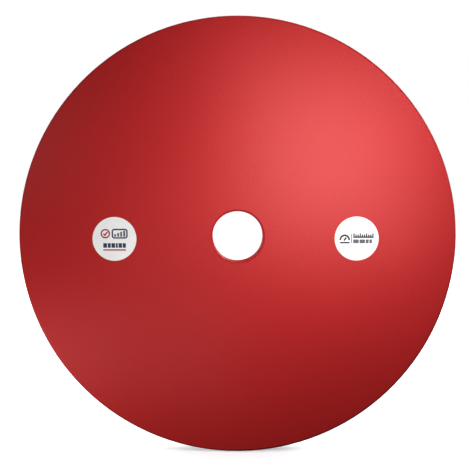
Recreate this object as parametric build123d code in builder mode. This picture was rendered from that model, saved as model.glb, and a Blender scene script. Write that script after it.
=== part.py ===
from build123d import *
import math
import os

# ---------------------------------------------------------------------------
# Calibrated powerlifting weight plate, 25 kg class.
#
# The plate stands upright, as it hangs on a bar sleeve: the bore's axis lies
# along Y, the flat rear face looks towards -Y and the marked front face
# towards +Y.  +Z is up.  The origin is the centre of the bore, half way
# through the plate's thickness.  All lengths are in millimetres.
# ---------------------------------------------------------------------------

# disc
disc_diameter = 450.0        # competition disc diameter
thickness = 27.0             # over the rim and over the hub
bore_diameter = 52.5         # slides over a 50 mm bar sleeve
bore_chamfer = 2.0
edge_round = 2.0             # rounding of the two outer edges of the rim
rim_width = 25.0             # flat rim on the front, measured radially
hub_diameter = 120.0         # flat hub on the front
web_thickness = 16.904        # rear face to the recessed front face; sets the mass
wall_slope = 14.0            # degrees of slope on the recess walls
recess_round = 4.0           # rounding at the foot of the recess walls
lip_round = 1.2              # rounding at the top of the recess walls

# raised weight marking on the front
mark_height = 54.0           # height of a character
mark_width = 40.0            # width of a character
mark_stroke = 10.5           # thickness of a stroke
mark_gap = 8.0               # between two characters of a group
mark_space = 22.0            # between the number and the unit
mark_radius = 127.0          # from the bore's axis to the middle of the line
mark_below_rim = 0.7         # the characters end this far under the rim face
mark_taper = 6.0             # degrees of draft on the characters
mark_chamfer = 0.5           # around the top of each character

# calibration pockets, open to the rear and hidden by the two labels
pocket_left = (-126.7, -2.2)     # (x, z) of the left pocket's axis
pocket_right = (122.6, -1.8)     # (x, z) of the right pocket's axis
seat_diameter = 45.7             # shallow seat that protects the label
seat_depth = 0.25
label_diameter = 45.2
label_thickness = 0.18
plug_major_diameter = 36.0
thread_pitch = 1.5
thread_depth = 0.85
thread_rings = 3
thread_clearance = 0.10          # radial, between the plug and the pocket
plug_length = 5.4
plug_below_seat = 0.05
spanner_hole_diameter = 5.0
spanner_hole_depth = 3.2
spanner_hole_spacing = 22.0
pocket_bore_diameter = 33.8
ballast_diameter = 33.4
slug_thickness = 4.0
trim_thickness = 1.2
shim_thickness = 0.6

# levels along the bore's axis
rear_y = -thickness / 2
front_y = thickness / 2
web_y = rear_y + web_thickness
seat_y = rear_y + seat_depth
plug_rear_y = seat_y + plug_below_seat
plug_front_y = plug_rear_y + plug_length
shim_front_y = plug_front_y + shim_thickness
trim_front_y = shim_front_y + trim_thickness
slug_front_y = trim_front_y + slug_thickness

disc_r = disc_diameter / 2
bore_r = bore_diameter / 2
hub_r = hub_diameter / 2
rim_r = disc_r - rim_width
wall_run = (front_y - web_y) * math.tan(math.radians(wall_slope))

os.makedirs("parts", exist_ok=True)


def thread_points(major_r, start_y, first):
    """Zigzag of ring grooves that stands for the screw thread, from start_y towards the front."""
    points = [(first, start_y)]
    y = start_y + 0.45
    for ring in range(thread_rings):
        points.append((major_r - thread_depth, y))
        points.append((major_r, y + thread_pitch * 0.44))
        points.append((major_r, y + thread_pitch * 0.56))
        y += thread_pitch
    points.append((major_r - thread_depth, y))
    return points


# ---------------------------------------------------------------------------
# characters of the weight marking, each drawn about its own centre
# ---------------------------------------------------------------------------
half_w = mark_width / 2
half_h = mark_height / 2
inner_r = half_w - mark_stroke
arc_y = half_h - half_w          # centre height of the round of a character

# The foot stroke of the 2 leaves the round on a tangent that ends at the
# character's lower left corner.
foot_aim = (-half_w + mark_stroke * 0.42, -half_h + mark_stroke * 0.42)
mid_r = half_w - mark_stroke / 2
aim_angle = math.atan2(foot_aim[1] - arc_y, foot_aim[0])
aim_reach = math.hypot(foot_aim[0], foot_aim[1] - arc_y)
leave = aim_angle + math.acos(mid_r / aim_reach)
slope = (math.sin(leave), -math.cos(leave))
outer_start = (half_w * math.cos(leave), arc_y + half_w * math.sin(leave))
inner_start = (inner_r * math.cos(leave), arc_y + inner_r * math.sin(leave))
foot_top = -half_h + mark_stroke
to_foot = (foot_top - outer_start[1]) / slope[1]
outer_end = (outer_start[0] + slope[0] * to_foot, foot_top)
to_side = (-half_w - inner_start[0]) / slope[0]
inner_end = (-half_w, inner_start[1] + slope[1] * to_side)
leave_deg = math.degrees(leave)

with BuildSketch() as digit_two:
    with BuildLine():
        CenterArc((0, arc_y), half_w, leave_deg, 180 - leave_deg)
        Line((-half_w, arc_y), (-inner_r, arc_y))
        CenterArc((0, arc_y), inner_r, leave_deg, 180 - leave_deg)
        Polyline(
            inner_start,
            inner_end,
            (-half_w, -half_h),
            (half_w, -half_h),
            (half_w, foot_top),
            outer_end,
            outer_start,
        )
    make_face()

# The 5: a bar, a short stem and a round bowl that closes under it.
bowl_y = -arc_y
stem_left = -half_w + 2.0
stem_right = stem_left + mark_stroke
stem_foot = 1.0
bowl_top_angle = math.degrees(math.acos(stem_right / half_w))
bowl_top = (stem_right, bowl_y + math.sqrt(half_w**2 - stem_right**2))
bowl_in_angle = 180 - math.degrees(math.asin(min(0.999, (stem_foot - bowl_y) / inner_r)))
bowl_in = (
    inner_r * math.cos(math.radians(bowl_in_angle)),
    bowl_y + inner_r * math.sin(math.radians(bowl_in_angle)),
)
bowl_end_angle = -158.0
bowl_end = math.radians(bowl_end_angle)

with BuildSketch() as digit_five:
    with BuildLine():
        Polyline(
            bowl_top,
            (stem_right, half_h - mark_stroke),
            (half_w - 2.0, half_h - mark_stroke),
            (half_w - 2.0, half_h),
            (stem_left, half_h),
            (stem_left, bowl_in[1]),
            bowl_in,
        )
        CenterArc((0, bowl_y), half_w, bowl_end_angle, bowl_top_angle - bowl_end_angle)
        Line(
            (half_w * math.cos(bowl_end), bowl_y + half_w * math.sin(bowl_end)),
            (inner_r * math.cos(bowl_end), bowl_y + inner_r * math.sin(bowl_end)),
        )
        CenterArc((0, bowl_y), inner_r, bowl_end_angle, bowl_in_angle - bowl_end_angle)
    make_face()

# The K: a stem and two arms that meet on it.
with BuildSketch() as letter_k:
    with BuildLine():
        Polyline(
            (-half_w, -half_h),
            (-half_w + mark_stroke, -half_h),
            (-half_w + mark_stroke, -9.5),
            (-4.6, -3.0),
            (half_w - 13.2, -half_h),
            (half_w, -half_h),
            (3.2, 5.6),
            (half_w - 0.6, half_h),
            (half_w - 13.8, half_h),
            (-half_w + mark_stroke, 4.2),
            (-half_w + mark_stroke, half_h),
            (-half_w, half_h),
            close=True,
        )
    make_face()

# The G: an upright loop, opened on the right, with a bar turned inwards.
with BuildSketch() as letter_g:
    SlotOverall(mark_height, mark_width, rotation=90)
    SlotOverall(mark_height - 2 * mark_stroke, mark_width - 2 * mark_stroke, rotation=90, mode=Mode.SUBTRACT)
    with Locations((half_w, 5.0)):
        Rectangle(mark_width / 2 + 8.0, 10.0, mode=Mode.SUBTRACT)
    with Locations((half_w, 0.0)):
        Rectangle(mark_width / 2 + 2.0, mark_stroke * 0.92, align=(Align.MAX, Align.MAX))

# The whole line, "25 KG", stands above the bore, and again, turned half way
# round, below it.  Each character is raised lying flat, about its own centre.
group_half = (4 * mark_width + 2 * mark_gap + mark_space) / 2
step = mark_width + mark_gap
first_x = -group_half + half_w
unit_x = first_x + step + mark_width + mark_space
mark_root = 0.4                  # the characters start this far inside the web
mark_rise = front_y - mark_below_rim - (web_y - mark_root)

marking = []
for character, along in (
    (digit_two, first_x),
    (digit_five, first_x + step),
    (letter_k, unit_x),
    (letter_g, unit_x + step),
):
    with BuildPart() as raised:
        add(character.sketch)
        extrude(amount=mark_rise, taper=mark_taper)
        chamfer(raised.edges().group_by(Axis.Z)[-1], length=mark_chamfer)
    marking.append((raised.part, along))

# ---------------------------------------------------------------------------
# plate_disc: one steel body with rim, web, hub, bore, marking and pockets
# ---------------------------------------------------------------------------
front_marking = Plane(origin=(0, web_y - mark_root, 0), x_dir=(-1, 0, 0), z_dir=(0, 1, 0))

with BuildPart() as plate_disc:
    with BuildSketch(Plane.XY) as disc_profile:
        with BuildLine():
            Polyline(
                (bore_r, rear_y + bore_chamfer),
                (bore_r + bore_chamfer, rear_y),
                (disc_r, rear_y),
                (disc_r, front_y),
                (rim_r, front_y),
                (rim_r - wall_run, web_y),
                (hub_r + wall_run, web_y),
                (hub_r, front_y),
                (bore_r + bore_chamfer, front_y),
                (bore_r, front_y - bore_chamfer),
                close=True,
            )
        make_face()
        outer_corners = disc_profile.vertices().group_by(Axis.X)[-1]
        fillet(outer_corners, radius=edge_round)
        web_corners = disc_profile.vertices().filter_by_position(Axis.Y, web_y - 0.01, web_y + 0.01)
        fillet(web_corners, radius=recess_round)
        lip_corners = disc_profile.vertices().filter_by_position(Axis.Y, front_y - 0.01, front_y + 0.01)
        lip_corners = lip_corners.filter_by_position(Axis.X, hub_r - 0.01, rim_r + 0.01)
        fillet(lip_corners, radius=lip_round)
    revolve(axis=Axis.Y)

    # raised marking, read from the front
    for character, along in marking:
        upright = front_marking.location * Location((along, mark_radius, 0))
        turned = front_marking.location * Location((-along, -mark_radius, 0), (0, 0, 180))
        with Locations(upright, turned):
            add(character)

    # calibration pockets, cut from the rear face
    for pocket_x, pocket_z in (pocket_left, pocket_right):
        pocket_plane = Plane(origin=(pocket_x, 0, pocket_z), x_dir=(1, 0, 0), z_dir=(0, 0, 1))
        pocket_r = plug_major_diameter / 2 + thread_clearance
        with BuildSketch(pocket_plane):
            with BuildLine():
                Polyline(
                    (0, rear_y - 1.0),
                    (seat_diameter / 2, rear_y - 1.0),
                    (seat_diameter / 2, seat_y),
                    *thread_points(pocket_r, seat_y, pocket_r),
                    (pocket_bore_diameter / 2, plug_front_y + 0.2),
                    (pocket_bore_diameter / 2, slug_front_y),
                    (0, slug_front_y),
                    close=True,
                )
            make_face()
        revolve(axis=Axis((pocket_x, 0, pocket_z), (0, 1, 0)), mode=Mode.SUBTRACT)

plate_disc.part.label = "plate_disc"
export_step(plate_disc.part, "parts/plate_disc.step")


# ---------------------------------------------------------------------------
# pocket contents and labels, the same on the left and on the right
# ---------------------------------------------------------------------------
def rear_plane(place, y):
    """Plane at level y that looks towards the rear, centred on a pocket; its X is +X and its Y is +Z."""
    return Plane(origin=(place[0], y, place[1]), x_dir=(1, 0, 0), z_dir=(0, -1, 0))


for side, place in (("left", pocket_left), ("right", pocket_right)):
    axis = Axis((place[0], 0, place[1]), (0, 1, 0))
    section = Plane(origin=(place[0], 0, place[1]), x_dir=(1, 0, 0), z_dir=(0, 0, 1))

    # threaded plug with two holes for a pin spanner
    with BuildPart() as plug:
        with BuildSketch(section):
            with BuildLine():
                Polyline(
                    (0, plug_rear_y),
                    (plug_major_diameter / 2 - 0.6, plug_rear_y),
                    *thread_points(plug_major_diameter / 2, seat_y, plug_major_diameter / 2 - 0.35)[1:],
                    (plug_major_diameter / 2 - thread_depth - 0.35, plug_front_y),
                    (0, plug_front_y),
                    close=True,
                )
            make_face()
        revolve(axis=axis)
        with Locations(rear_plane(place, plug_rear_y)):
            with GridLocations(spanner_hole_spacing, 0, 2, 1):
                CounterSinkHole(
                    radius=spanner_hole_diameter / 2,
                    counter_sink_radius=spanner_hole_diameter / 2 + 0.5,
                    depth=spanner_hole_depth,
                )
    plug.part.label = f"calibration_plug_{side}"
    export_step(plug.part, f"parts/calibration_plug_{side}.step")

    # thin aluminium shim against the plug
    with BuildPart() as shim:
        with BuildSketch(rear_plane(place, shim_front_y)):
            Circle(ballast_diameter / 2)
        extrude(amount=shim_thickness)
        chamfer(shim.edges(), length=0.12)
    shim.part.label = f"trim_shim_{side}"
    export_step(shim.part, f"parts/trim_shim_{side}.step")

    # brass trim disc in the middle of the stack
    with BuildPart() as trim:
        with BuildSketch(rear_plane(place, trim_front_y)):
            Circle(ballast_diameter / 2)
        extrude(amount=trim_thickness)
        chamfer(trim.edges(), length=0.25)
    trim.part.label = f"trim_disc_{side}"
    export_step(trim.part, f"parts/trim_disc_{side}.step")

    # steel slug on the pocket's floor, with a small threaded lifting hole's pilot
    with BuildPart() as slug:
        with BuildSketch(rear_plane(place, slug_front_y)):
            Circle(ballast_diameter / 2)
        extrude(amount=slug_thickness)
        chamfer(slug.edges(), length=0.5)
    slug.part.label = f"ballast_slug_{side}"
    export_step(slug.part, f"parts/ballast_slug_{side}.step")

    # round self-adhesive label that lies in the seat, just under the rear face
    with BuildPart() as sticker:
        with BuildSketch(rear_plane(place, seat_y)):
            Circle(label_diameter / 2)
        extrude(amount=label_thickness)
    sticker.part.label = f"label_{side}"
    export_step(sticker.part, f"parts/label_{side}.step")
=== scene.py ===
import math

import bmesh
import bpy
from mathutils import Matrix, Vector
from mathutils.geometry import delaunay_2d_cdt


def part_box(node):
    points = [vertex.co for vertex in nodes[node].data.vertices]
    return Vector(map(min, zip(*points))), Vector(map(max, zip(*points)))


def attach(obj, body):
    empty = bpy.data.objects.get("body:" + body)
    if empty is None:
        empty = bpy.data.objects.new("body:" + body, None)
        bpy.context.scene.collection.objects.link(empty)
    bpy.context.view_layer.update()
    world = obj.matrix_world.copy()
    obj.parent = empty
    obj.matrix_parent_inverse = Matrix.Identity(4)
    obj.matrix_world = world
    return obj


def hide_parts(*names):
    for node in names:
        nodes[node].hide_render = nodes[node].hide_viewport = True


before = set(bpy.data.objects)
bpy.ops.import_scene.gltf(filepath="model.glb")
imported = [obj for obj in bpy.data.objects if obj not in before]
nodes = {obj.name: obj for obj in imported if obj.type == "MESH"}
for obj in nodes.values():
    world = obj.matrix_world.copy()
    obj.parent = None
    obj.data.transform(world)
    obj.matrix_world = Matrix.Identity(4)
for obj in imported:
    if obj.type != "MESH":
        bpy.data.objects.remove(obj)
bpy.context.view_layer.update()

scene = bpy.context.scene
scene.view_settings.view_transform = "Standard"
scene.view_settings.look = "None"
scene.view_settings.exposure = 0.0
scene.view_settings.gamma = 1.0

disc_low, disc_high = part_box("plate_disc")
REAR_Y = disc_low.y
FRONT_Y = disc_high.y
DISC_R = (disc_high.x - disc_low.x) / 2


# ---------------------------------------------------------------------------
# small helpers for node materials
# ---------------------------------------------------------------------------
def new_material(name):
    mat = bpy.data.materials.new(name)
    mat.use_nodes = True
    tree = mat.node_tree
    tree.nodes.clear()
    out = tree.nodes.new("ShaderNodeOutputMaterial")
    bsdf = tree.nodes.new("ShaderNodeBsdfPrincipled")
    tree.links.new(bsdf.outputs["BSDF"], out.inputs["Surface"])
    return mat, tree, bsdf


def object_coords(tree):
    return tree.nodes.new("ShaderNodeTexCoord").outputs["Object"]


def noise(tree, vector, scale, detail=2.0, rough=0.5, distortion=0.0):
    n = tree.nodes.new("ShaderNodeTexNoise")
    n.inputs["Scale"].default_value = scale
    n.inputs["Detail"].default_value = detail
    n.inputs["Roughness"].default_value = rough
    n.inputs["Distortion"].default_value = distortion
    tree.links.new(vector, n.inputs["Vector"])
    return n.outputs["Fac"]


def math_node(tree, op, a, b=None, clamp=False):
    n = tree.nodes.new("ShaderNodeMath")
    n.operation = op
    n.use_clamp = clamp
    for i, v in enumerate((a, b)):
        if v is None:
            continue
        if isinstance(v, (int, float)):
            n.inputs[i].default_value = v
        else:
            tree.links.new(v, n.inputs[i])
    return n.outputs[0]


def map_range(tree, value, from_low, from_high, to_low, to_high, smooth=False):
    n = tree.nodes.new("ShaderNodeMapRange")
    n.interpolation_type = "SMOOTHSTEP" if smooth else "LINEAR"
    n.inputs["From Min"].default_value = from_low
    n.inputs["From Max"].default_value = from_high
    n.inputs["To Min"].default_value = to_low
    n.inputs["To Max"].default_value = to_high
    tree.links.new(value, n.inputs["Value"])
    return n.outputs["Result"]


def mix_colour(tree, fac, a, b):
    n = tree.nodes.new("ShaderNodeMix")
    n.data_type = "RGBA"
    if isinstance(fac, (int, float)):
        n.inputs[0].default_value = fac
    else:
        tree.links.new(fac, n.inputs[0])
    for i, v in ((6, a), (7, b)):
        if isinstance(v, tuple):
            n.inputs[i].default_value = v
        else:
            tree.links.new(v, n.inputs[i])
    return n.outputs[2]


def bump(tree, height, strength, distance, normal=None):
    n = tree.nodes.new("ShaderNodeBump")
    n.inputs["Strength"].default_value = strength
    n.inputs["Distance"].default_value = distance
    tree.links.new(height, n.inputs["Height"])
    if normal is not None:
        tree.links.new(normal, n.inputs["Normal"])
    return n.outputs["Normal"]


def give(node_name, mat):
    mesh = nodes[node_name].data
    if mesh.materials:
        for i in range(len(mesh.materials)):
            mesh.materials[i] = mat
    else:
        mesh.materials.append(mat)


# ---------------------------------------------------------------------------
# red satin paint, with white paint on the raised marking
# ---------------------------------------------------------------------------
RED = (0.474, 0.0170, 0.0173, 1.0)
RED_DEEP = (0.449, 0.0157, 0.0162, 1.0)
MARK_WHITE = (0.80, 0.79, 0.76, 1.0)


def paint_material():
    mat, tree, bsdf = new_material("satin_red_paint")
    co = object_coords(tree)
    xyz = tree.nodes.new("ShaderNodeSeparateXYZ")
    tree.links.new(co, xyz.inputs[0])

    # slow drift of the coat's depth, and a fine mottle inside it
    drift = noise(tree, co, 7.0, 2.0, 0.5)
    mottle = noise(tree, co, 420.0, 3.0, 0.6)
    depth = math_node(tree, "ADD", math_node(tree, "MULTIPLY", drift, 0.7), math_node(tree, "MULTIPLY", mottle, 0.3))
    red = mix_colour(tree, map_range(tree, depth, 0.35, 0.65, 0.0, 1.0), RED, RED_DEEP)

    # white paint lies only on the tops of the raised characters: between the
    # hub and the rim, and within half a millimetre of their full height
    radius = math_node(
        tree,
        "SQRT",
        math_node(
            tree,
            "ADD",
            math_node(tree, "MULTIPLY", xyz.outputs["X"], xyz.outputs["X"]),
            math_node(tree, "MULTIPLY", xyz.outputs["Z"], xyz.outputs["Z"]),
        ),
    )
    top = map_range(tree, xyz.outputs["Y"], FRONT_Y - 0.00125, FRONT_Y - 0.00095, 0.0, 1.0)
    past_hub = map_range(tree, radius, 0.0660, 0.0665, 0.0, 1.0)
    inside_rim = map_range(tree, radius, 0.1930, 0.1935, 1.0, 0.0)
    white = math_node(tree, "MULTIPLY", math_node(tree, "MULTIPLY", top, past_hub), inside_rim)
    colour = mix_colour(tree, white, red, MARK_WHITE)
    tree.links.new(colour, bsdf.inputs["Base Color"])

    # satin gloss that varies a little with the texture of the coat
    rough = map_range(tree, noise(tree, co, 380.0, 3.0, 0.55), 0.3, 0.7, 0.395, 0.435)
    tree.links.new(rough, bsdf.inputs["Roughness"])
    bsdf.inputs["IOR"].default_value = 1.29

    # orange peel: shallow dimples about a millimetre and a half apart, over a
    # finer grain
    peel = noise(tree, co, 520.0, 1.0, 0.4)
    grain = noise(tree, co, 2400.0, 2.0, 0.5)
    n1 = bump(tree, peel, 0.42, 0.0003)
    n2 = bump(tree, grain, 0.25, 0.0001, n1)
    tree.links.new(n2, bsdf.inputs["Normal"])
    return mat


give("plate_disc", paint_material())


# ---------------------------------------------------------------------------
# metals inside the calibration pockets
# ---------------------------------------------------------------------------
def turned_metal(name, base, tint, rough_low, rough_high, centre, rings=900.0, metallic=1.0):
    """Metal faced on a lathe: fine rings about its own axis, and faint stains."""
    mat, tree, bsdf = new_material(name)
    co = object_coords(tree)
    shift = tree.nodes.new("ShaderNodeVectorMath")
    shift.operation = "SUBTRACT"
    shift.inputs[1].default_value = (centre[0], 0.0, centre[1])
    tree.links.new(co, shift.inputs[0])
    xyz = tree.nodes.new("ShaderNodeSeparateXYZ")
    tree.links.new(shift.outputs[0], xyz.inputs[0])
    radius = math_node(
        tree,
        "SQRT",
        math_node(
            tree,
            "ADD",
            math_node(tree, "MULTIPLY", xyz.outputs["X"], xyz.outputs["X"]),
            math_node(tree, "MULTIPLY", xyz.outputs["Z"], xyz.outputs["Z"]),
        ),
    )
    ring = math_node(tree, "SINE", math_node(tree, "MULTIPLY", radius, rings * 2 * math.pi))
    stain = noise(tree, co, 90.0, 4.0, 0.6)
    fine = noise(tree, co, 1500.0, 2.0, 0.5)
    tree.links.new(mix_colour(tree, map_range(tree, stain, 0.35, 0.7, 0.0, 1.0), base, tint), bsdf.inputs["Base Color"])
    tree.links.new(
        map_range(tree, math_node(tree, "ADD", stain, fine), 0.7, 1.3, rough_low, rough_high), bsdf.inputs["Roughness"]
    )
    bsdf.inputs["Metallic"].default_value = metallic
    n1 = bump(tree, ring, 0.25, 0.00004)
    n2 = bump(tree, fine, 0.15, 0.00005, n1)
    tree.links.new(n2, bsdf.inputs["Normal"])
    return mat


for side in ("left", "right"):
    low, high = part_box(f"calibration_plug_{side}")
    centre = ((low.x + high.x) / 2, (low.z + high.z) / 2)
    give(
        f"calibration_plug_{side}",
        turned_metal(f"zinc_plated_steel_{side}", (0.66, 0.67, 0.66, 1), (0.55, 0.56, 0.53, 1), 0.26, 0.42, centre, 1250.0),
    )
    give(
        f"ballast_slug_{side}",
        turned_metal(f"plain_steel_{side}", (0.46, 0.46, 0.47, 1), (0.34, 0.33, 0.32, 1), 0.32, 0.5, centre, 900.0),
    )
    give(
        f"trim_disc_{side}",
        turned_metal(f"plain_brass_{side}", (0.80, 0.60, 0.27, 1), (0.62, 0.43, 0.19, 1), 0.28, 0.45, centre, 700.0),
    )
    give(
        f"trim_shim_{side}",
        turned_metal(f"rolled_aluminium_{side}", (0.83, 0.84, 0.85, 1), (0.74, 0.75, 0.76, 1), 0.25, 0.4, centre, 500.0),
    )


# ---------------------------------------------------------------------------
# labels: printed white film, each a closed disc with its print as faces
# ---------------------------------------------------------------------------
def film_material(name, base, shade):
    mat, tree, bsdf = new_material(name)
    co = object_coords(tree)
    cloud = noise(tree, co, 60.0, 3.0, 0.55)
    fibre = noise(tree, co, 1800.0, 2.0, 0.5)
    tree.links.new(mix_colour(tree, map_range(tree, cloud, 0.35, 0.65, 0.0, 1.0), base, shade), bsdf.inputs["Base Color"])
    tree.links.new(map_range(tree, fibre, 0.3, 0.7, 0.46, 0.56), bsdf.inputs["Roughness"])
    bsdf.inputs["IOR"].default_value = 1.4
    tree.links.new(bump(tree, fibre, 0.12, 0.00005), bsdf.inputs["Normal"])
    return mat


def ink_material(name, base, shade):
    mat, tree, bsdf = new_material(name)
    co = object_coords(tree)
    dots = noise(tree, co, 2400.0, 2.0, 0.5)
    tree.links.new(mix_colour(tree, map_range(tree, dots, 0.3, 0.7, 0.0, 1.0), base, shade), bsdf.inputs["Base Color"])
    tree.links.new(map_range(tree, dots, 0.3, 0.7, 0.52, 0.62), bsdf.inputs["Roughness"])
    bsdf.inputs["IOR"].default_value = 1.4
    tree.links.new(bump(tree, dots, 0.10, 0.00004), bsdf.inputs["Normal"])
    return mat


film = film_material("label_film", (0.96, 0.95, 0.935, 1), (0.925, 0.915, 0.90, 1))
navy = ink_material("ink_navy", (0.022, 0.028, 0.075, 1), (0.03, 0.038, 0.095, 1))
crimson = ink_material("ink_crimson", (0.38, 0.010, 0.035, 1), (0.33, 0.008, 0.030, 1))
charcoal = ink_material("ink_charcoal", (0.009, 0.009, 0.013, 1), (0.014, 0.014, 0.018, 1))
silver = ink_material("ink_silver", (0.085, 0.085, 0.098, 1), (0.110, 0.110, 0.125, 1))
INKS = {"navy": navy, "crimson": crimson, "charcoal": charcoal, "silver": silver}


def circle_points(cx, cz, r, n, start=0.0, end=360.0, closed=True):
    count = n if closed else n + 1
    return [
        (cx + r * math.cos(math.radians(start + (end - start) * i / n)), cz + r * math.sin(math.radians(start + (end - start) * i / n)))
        for i in range(count)
    ]


def rect(x0, z0, x1, z1):
    return [(x0, z0), (x1, z0), (x1, z1), (x0, z1)]


def rounded(x0, z0, x1, z1, r, n=6):
    pts = []
    for cx, cz, a in ((x1 - r, z0 + r, -90), (x1 - r, z1 - r, 0), (x0 + r, z1 - r, 90), (x0 + r, z0 + r, 180)):
        pts += circle_points(cx, cz, r, n, a, a + 90, closed=False)
    return pts


def stroke(points, width):
    """Outline of a polyline drawn with a flat pen of this width, with mitred corners."""
    left, right = [], []
    for i, (x, z) in enumerate(points):
        dirs = []
        if i > 0:
            dirs.append((x - points[i - 1][0], z - points[i - 1][1]))
        if i < len(points) - 1:
            dirs.append((points[i + 1][0] - x, points[i + 1][1] - z))
        dirs = [(a / math.hypot(a, b), b / math.hypot(a, b)) for a, b in dirs]
        tx, tz = sum(d[0] for d in dirs), sum(d[1] for d in dirs)
        length = math.hypot(tx, tz)
        tx, tz = tx / length, tz / length
        cos_half = tx * dirs[0][0] + tz * dirs[0][1]
        off = width / 2 / max(cos_half, 0.35)
        left.append((x - tz * off, z + tx * off))
        right.append((x + tz * off, z - tx * off))
    return left + right[::-1]


def band(cx, cz, r_in, r_out, start, end, n=40):
    """Part of a ring as one closed outline."""
    outer = circle_points(cx, cz, r_out, n, start, end, closed=False)
    inner = circle_points(cx, cz, r_in, n, end, start, closed=False)
    return outer + inner


def make_label(name, node, shapes):
    """A thin closed disc in the CAD label's place. shapes: list of (ink, outline) in millimetres about its centre, X right and Z up.

    A shape drawn later covers the ones before it; "film" is the bare label.
    """
    low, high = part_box(node)
    cx, cz = (low.x + high.x) / 2, (low.z + high.z) / 2
    r = (high.x - low.x) / 2
    rear, front = low.y, high.y
    edge_n = 192
    soft = 0.00005                      # rounding of the cut edge

    points, faces, kinds = [], [], []
    rim = circle_points(0.0, 0.0, r - soft, edge_n)
    faces.append(list(range(edge_n)))
    points += rim
    kinds.append("film")
    for ink, outline in shapes:
        area = sum(
            outline[i][0] * outline[(i + 1) % len(outline)][1] - outline[(i + 1) % len(outline)][0] * outline[i][1]
            for i in range(len(outline))
        )
        if area < 0:
            outline = outline[::-1]
        first = len(points)
        points += [(x / 1000, z / 1000) for x, z in outline]
        faces.append(list(range(first, first + len(outline))))
        kinds.append(ink)
    verts, _, tris, _, _, from_faces = delaunay_2d_cdt([Vector(p) for p in points], [], faces, 0, 1e-7, True)

    bm = bmesh.new()
    top = [bm.verts.new((cx + v.x, rear, cz + v.y)) for v in verts]
    names = ["film"] + sorted({k for k in kinds if k != "film"})
    for tri, origin in zip(tris, from_faces):
        if not origin:
            continue
        face = bm.faces.new([top[i] for i in tri])
        face.material_index = names.index(kinds[max(origin)])
    # the rounded cut edge, then the side wall and the glued underside
    bm.edges.ensure_lookup_table()
    open_edges = [e for e in bm.edges if e.is_boundary]
    ring = sorted({v for e in open_edges for v in e.verts}, key=lambda v: math.atan2(v.co.z - cz, v.co.x - cx))
    levels = [(r - soft * (1 - math.sin(a)), rear + soft * (1 - math.cos(a))) for a in (math.radians(30), math.radians(60), math.radians(90))]
    levels.append((r, front))
    last = ring
    for radius, y in levels:
        now = []
        for v in ring:
            a = math.atan2(v.co.z - cz, v.co.x - cx)
            now.append(bm.verts.new((cx + radius * math.cos(a), y, cz + radius * math.sin(a))))
        for i in range(len(ring)):
            j = (i + 1) % len(ring)
            bm.faces.new((last[i], last[j], now[j], now[i]))
        last = now
    centre = bm.verts.new((cx, front, cz))
    for i in range(len(last)):
        bm.faces.new((last[i], last[(i + 1) % len(last)], centre))
    bmesh.ops.recalc_face_normals(bm, faces=bm.faces)
    mesh = bpy.data.meshes.new(name)
    bm.to_mesh(mesh)
    bm.free()
    mesh.materials.append(film)
    for n in names[1:]:
        mesh.materials.append(INKS[n])
    obj = bpy.data.objects.new(name, mesh)
    scene.collection.objects.link(obj)
    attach(obj, "root")
    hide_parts(node)
    return obj


def frame_outline(x0, z0, x1, z1, r, ink, width):
    """A rounded frame: the solid shape, then bare film inside it."""
    inner = rounded(x0 + width, z0 + width, x1 - width, z1 - width, max(r - width, 0.2))
    return [(ink, rounded(x0, z0, x1, z1, r)), ("film", inner)]


# left: a tick in a ring beside a framed row of rising bars, then a broken bar
# and a thin rule
left_shapes = []
left_shapes.append(("crimson", circle_points(-9.4, 5.4, 4.9, 44)))
left_shapes.append(("film", circle_points(-9.4, 5.4, 3.4, 44)))
left_shapes.append(("crimson", stroke([(-11.4, 5.5), (-9.8, 3.8), (-7.2, 7.4)], 1.5)))
left_shapes += frame_outline(-2.9, 0.3, 13.6, 10.5, 2.8, "navy", 1.5)
for i, tall in enumerate((2.6, 3.8, 5.0, 6.2)):
    x = 0.7 + 3.1 * i
    left_shapes.append(("silver", rect(x - 1.0, 2.3, x + 1.0, 2.3 + tall)))
for x0, x1 in ((-11.6, -7.7), (-7.0, -3.9), (-3.2, 0.6), (1.3, 3.4), (4.1, 7.7), (8.4, 11.6)):
    left_shapes.append(("navy", rect(x0, -9.1, x1, -4.4)))
left_shapes.append(("crimson", rect(-11.6, -12.1, 11.6, -10.7)))
make_label("printed_label_left", "label_left", left_shapes)

# right: a small dial, an upright rule, a graduated scale and a row of bars
right_shapes = []
right_shapes.append(("charcoal", band(-12.3, -1.2, 3.5, 5.5, -8, 188, 28)))
right_shapes.append(("charcoal", stroke([(-13.2, -2.2), (-10.6, 1.1)], 1.9)))
right_shapes.append(("charcoal", rect(-17.3, -5.1, -7.3, -3.4)))
right_shapes.append(("charcoal", rect(-5.8, -5.0, -5.0, 5.0)))
scale_left, scale_right, tick_wide, ticks = -3.6, 17.4, 1.5, 9
tick_step = (scale_right - scale_left - tick_wide) / ticks
comb = [(scale_left, 0.6), (scale_right, 0.6)]
for i in range(ticks, -1, -1):
    x = scale_left + i * tick_step
    tall = 5.3 if i % 3 == 0 else 4.2
    if i < ticks:
        comb.append((x + tick_wide, 2.2))
    comb += [(x + tick_wide, tall), (x, tall)]
    if i > 0:
        comb.append((x, 2.2))
right_shapes.append(("charcoal", comb))
for x0, x1 in ((-3.6, 2.2), (2.9, 8.6), (9.3, 12.4), (13.1, 15.8)):
    right_shapes.append(("silver", rect(x0, -4.9, x1, -0.9)))
make_label("printed_label_right", "label_right", right_shapes)


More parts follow.
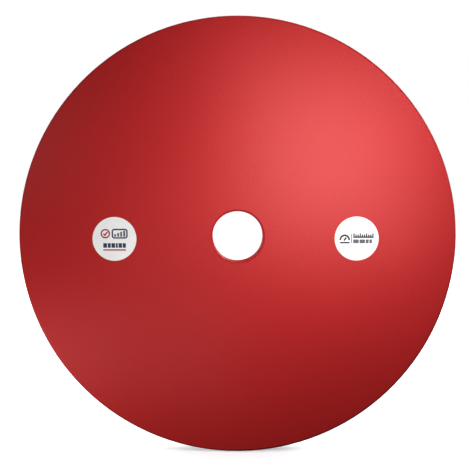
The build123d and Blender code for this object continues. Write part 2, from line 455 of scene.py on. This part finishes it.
# ---------------------------------------------------------------------------
# camera
# ---------------------------------------------------------------------------
cam_data = bpy.data.cameras.new("camera")
cam_data.sensor_width = 36.0
cam_data.lens = 69.0
cam_data.clip_start = 0.02
cam_data.clip_end = 60.0
cam = bpy.data.objects.new("camera", cam_data)
cam.location = (-0.0040, -0.9345, 0.0622)
pitch, yaw = math.radians(3.685), math.radians(0.019)
cam.rotation_euler = (math.radians(90) - pitch, 0.0, -yaw)
scene.collection.objects.link(cam)
scene.camera = cam


# ---------------------------------------------------------------------------
# studio
# ---------------------------------------------------------------------------
def area_light(name, place, aim, size, power):
    data = bpy.data.lights.new(name, "AREA")
    data.shape = "SQUARE"
    data.size = size
    data.energy = power
    obj = bpy.data.objects.new(name, data)
    obj.location = place
    obj.rotation_mode = "QUATERNION"
    obj.rotation_quaternion = (Vector(aim) - Vector(place)).to_track_quat("-Z", "Y")
    obj.visible_camera = False
    scene.collection.objects.link(obj)
    return obj


# close soft patches on the flat side, whose sum is one broad highlight above
# and to the right of the bore with a low fill on the left; then large boxes
# for the far side, the edge and the bore wall: name, place, aim, size, watts
LIGHTS = [
    ("key", (0.12, -0.24, 0.10), (0.084, 0.0, 0.080), 0.25, 0.745),
    ("key_low", (0.12, -0.27, 0.05), (0.084, 0.0, 0.040), 0.15, 0.191),
    ("key_core", (0.10, -0.18, 0.10), (0.070, 0.0, 0.080), 0.12, 0.105),
    ("centre", (-0.07, -0.27, -0.02), (-0.049, 0.0, -0.016), 0.15, 0.054),
    ("left_high", (-0.33, -0.27, 0.12), (-0.231, 0.0, 0.096), 0.15, 0.145),
    ("left_low_a", (-0.30, -0.14, -0.17), (-0.210, 0.0, -0.136), 0.08, 0.162),
    ("left_low_b", (-0.18, -0.18, -0.15), (-0.126, 0.0, -0.120), 0.10, 0.060),
    ("left_low_c", (-0.06, -0.18, -0.15), (-0.042, 0.0, -0.120), 0.10, 0.035),
    ("far_side_key", (0.9, 1.5, 1.0), (0, 0, 0), 1.2, 26.0),
    ("far_side_fill", (-1.2, 1.3, 0.3), (0, 0, 0), 1.2, 12.0),
    ("overhead", (0.0, 0.35, 1.6), (0, 0.02, 0), 1.0, 12.0),
    ("edge_right", (1.5, 0.45, 0.25), (0.2, 0.02, -0.05), 0.9, 11.0),
    ("edge_left", (-1.5, 0.45, 0.25), (-0.2, 0.02, -0.05), 0.9, 9.0),
]
for name, place, aim, size, power in LIGHTS:
    area_light(name, place, aim, size, power)

world = bpy.data.worlds.new("studio")
scene.world = world
world.use_nodes = True
wt = world.node_tree
wt.nodes.clear()
w_out = wt.nodes.new("ShaderNodeOutputWorld")
w_mix = wt.nodes.new("ShaderNodeMixShader")
w_path = wt.nodes.new("ShaderNodeLightPath")
w_seen = wt.nodes.new("ShaderNodeBackground")
w_fill = wt.nodes.new("ShaderNodeBackground")
w_seen.inputs["Color"].default_value = (1, 1, 1, 1)
w_seen.inputs["Strength"].default_value = 1.0
w_fill.inputs["Color"].default_value = (1, 1, 1, 1)
w_fill.inputs["Strength"].default_value = 0.02
wt.links.new(w_path.outputs["Is Camera Ray"], w_mix.inputs[0])
wt.links.new(w_fill.outputs[0], w_mix.inputs[1])
wt.links.new(w_seen.outputs[0], w_mix.inputs[2])
wt.links.new(w_mix.outputs[0], w_out.inputs[0])

# pale floor under the disc's edge
floor_mesh = bpy.data.meshes.new("floor")
fb = bmesh.new()
bmesh.ops.create_grid(fb, x_segments=8, y_segments=8, size=6.0)
fb.to_mesh(floor_mesh)
fb.free()
floor = bpy.data.objects.new("floor", floor_mesh)
floor.location = (0, 0, disc_low.z - 0.0005)
scene.collection.objects.link(floor)
floor_mat, ft, fbsdf = new_material("pale_floor")
fbsdf.inputs["Base Color"].default_value = (0.9, 0.9, 0.9, 1)
fbsdf.inputs["Roughness"].default_value = 0.9
fbsdf.inputs["Emission Color"].default_value = (1, 1, 1, 1)
# painted light: the floor glows by emission, weakest near the disc and paler further off, so that it runs into the
# white surround without a line; a faint noise varies the painted glow
f_len = ft.nodes.new("ShaderNodeVectorMath")
f_len.operation = "LENGTH"
ft.links.new(object_coords(ft), f_len.inputs[0])
f_glow_speck = noise(ft, object_coords(ft), 30.0, 3.0, 0.6)
f_painted_glow = math_node(ft, "ADD", map_range(ft, f_len.outputs["Value"], 0.20, 1.1, 0.45, 1.02), math_node(ft, "MULTIPLY", f_glow_speck, 0.01))
ft.links.new(f_painted_glow, fbsdf.inputs["Emission Strength"])
floor_mesh.materials.append(floor_mat)
floor.visible_diffuse = False
floor.visible_glossy = False
